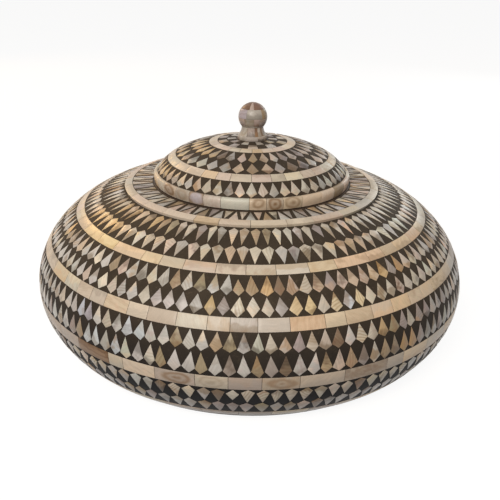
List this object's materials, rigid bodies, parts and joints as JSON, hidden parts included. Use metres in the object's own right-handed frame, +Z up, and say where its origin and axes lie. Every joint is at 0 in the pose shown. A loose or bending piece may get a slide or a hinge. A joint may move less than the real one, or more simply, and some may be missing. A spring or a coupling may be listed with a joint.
{
  "type": "mother of pearl box",
  "caption": "Squat round lidded box covered in rings of inlaid shell plates and kite-shaped shell pieces, with a domed lift-off lid and a ball knob.",
  "frame": {"origin": "middle of the foot's flat underside, on the table", "axes": "+Z up along the turning axis; -Y is the side that the picture shows"},
  "size_m": [0.3542, 0.3542, 0.1913],
  "materials": {
    "turned_wood": "dark stained turned wood, satin",
    "dark_resin": "dark brown resin ground, rubbed down to a dull sheen",
    "plate_shell": "polished cream shell plates, pearly",
    "kite_shell": "polished cream, grey and tan shell, pearly and striped by growth lines",
    "triangle_shell": "polished pale shell, pearly",
    "knob_shell": "polished cream and brown shell, pearly"
  },
  "bodies": {
    "bowl": {"bowl_lower_core": "turned_wood", "bowl_upper_core": "turned_wood", "shoulder_ground": "dark_resin", "upper_ground": "dark_resin", "middle_ground": "dark_resin", "belly_ground": "dark_resin", "under_ground": "dark_resin", "shoulder_band": "plate_shell", "upper_band": "plate_shell", "middle_band": "plate_shell", "belly_band": "plate_shell", "foot_band": "plate_shell", "upper_kites_high": "kite_shell", "upper_kites_low": "kite_shell", "middle_kites_high": "kite_shell", "middle_kites_low": "kite_shell", "belly_kites_high": "kite_shell", "belly_kites_low": "kite_shell", "under_kites_high": "kite_shell", "under_kites_low": "kite_shell", "shoulder_triangles_out": "triangle_shell", "shoulder_triangles_in": "triangle_shell"},
    "lid": {"lid_core": "turned_wood", "lid_spigot": "turned_wood", "knob_core": "turned_wood", "lid_lower_ground": "dark_resin", "lid_upper_ground": "dark_resin", "crown_ground": "dark_resin", "lid_band": "plate_shell", "crown_band": "plate_shell", "lid_rim_plates": "plate_shell", "lid_lower_kites": "kite_shell", "lid_kites_high": "kite_shell", "lid_kites_low": "kite_shell", "crown_wedges_inner": "triangle_shell", "crown_wedges_outer": "triangle_shell", "knob_ball_tiles": "knob_shell", "knob_neck_strips": "knob_shell", "knob_foot_tiles": "knob_shell"}
  },
  "joints": [
    {"name": "lid_lift", "type": "slide", "parent": "bowl", "child": "lid", "axis": [0, 0, 1], "range_m": [0, 0.12]}
  ]
}
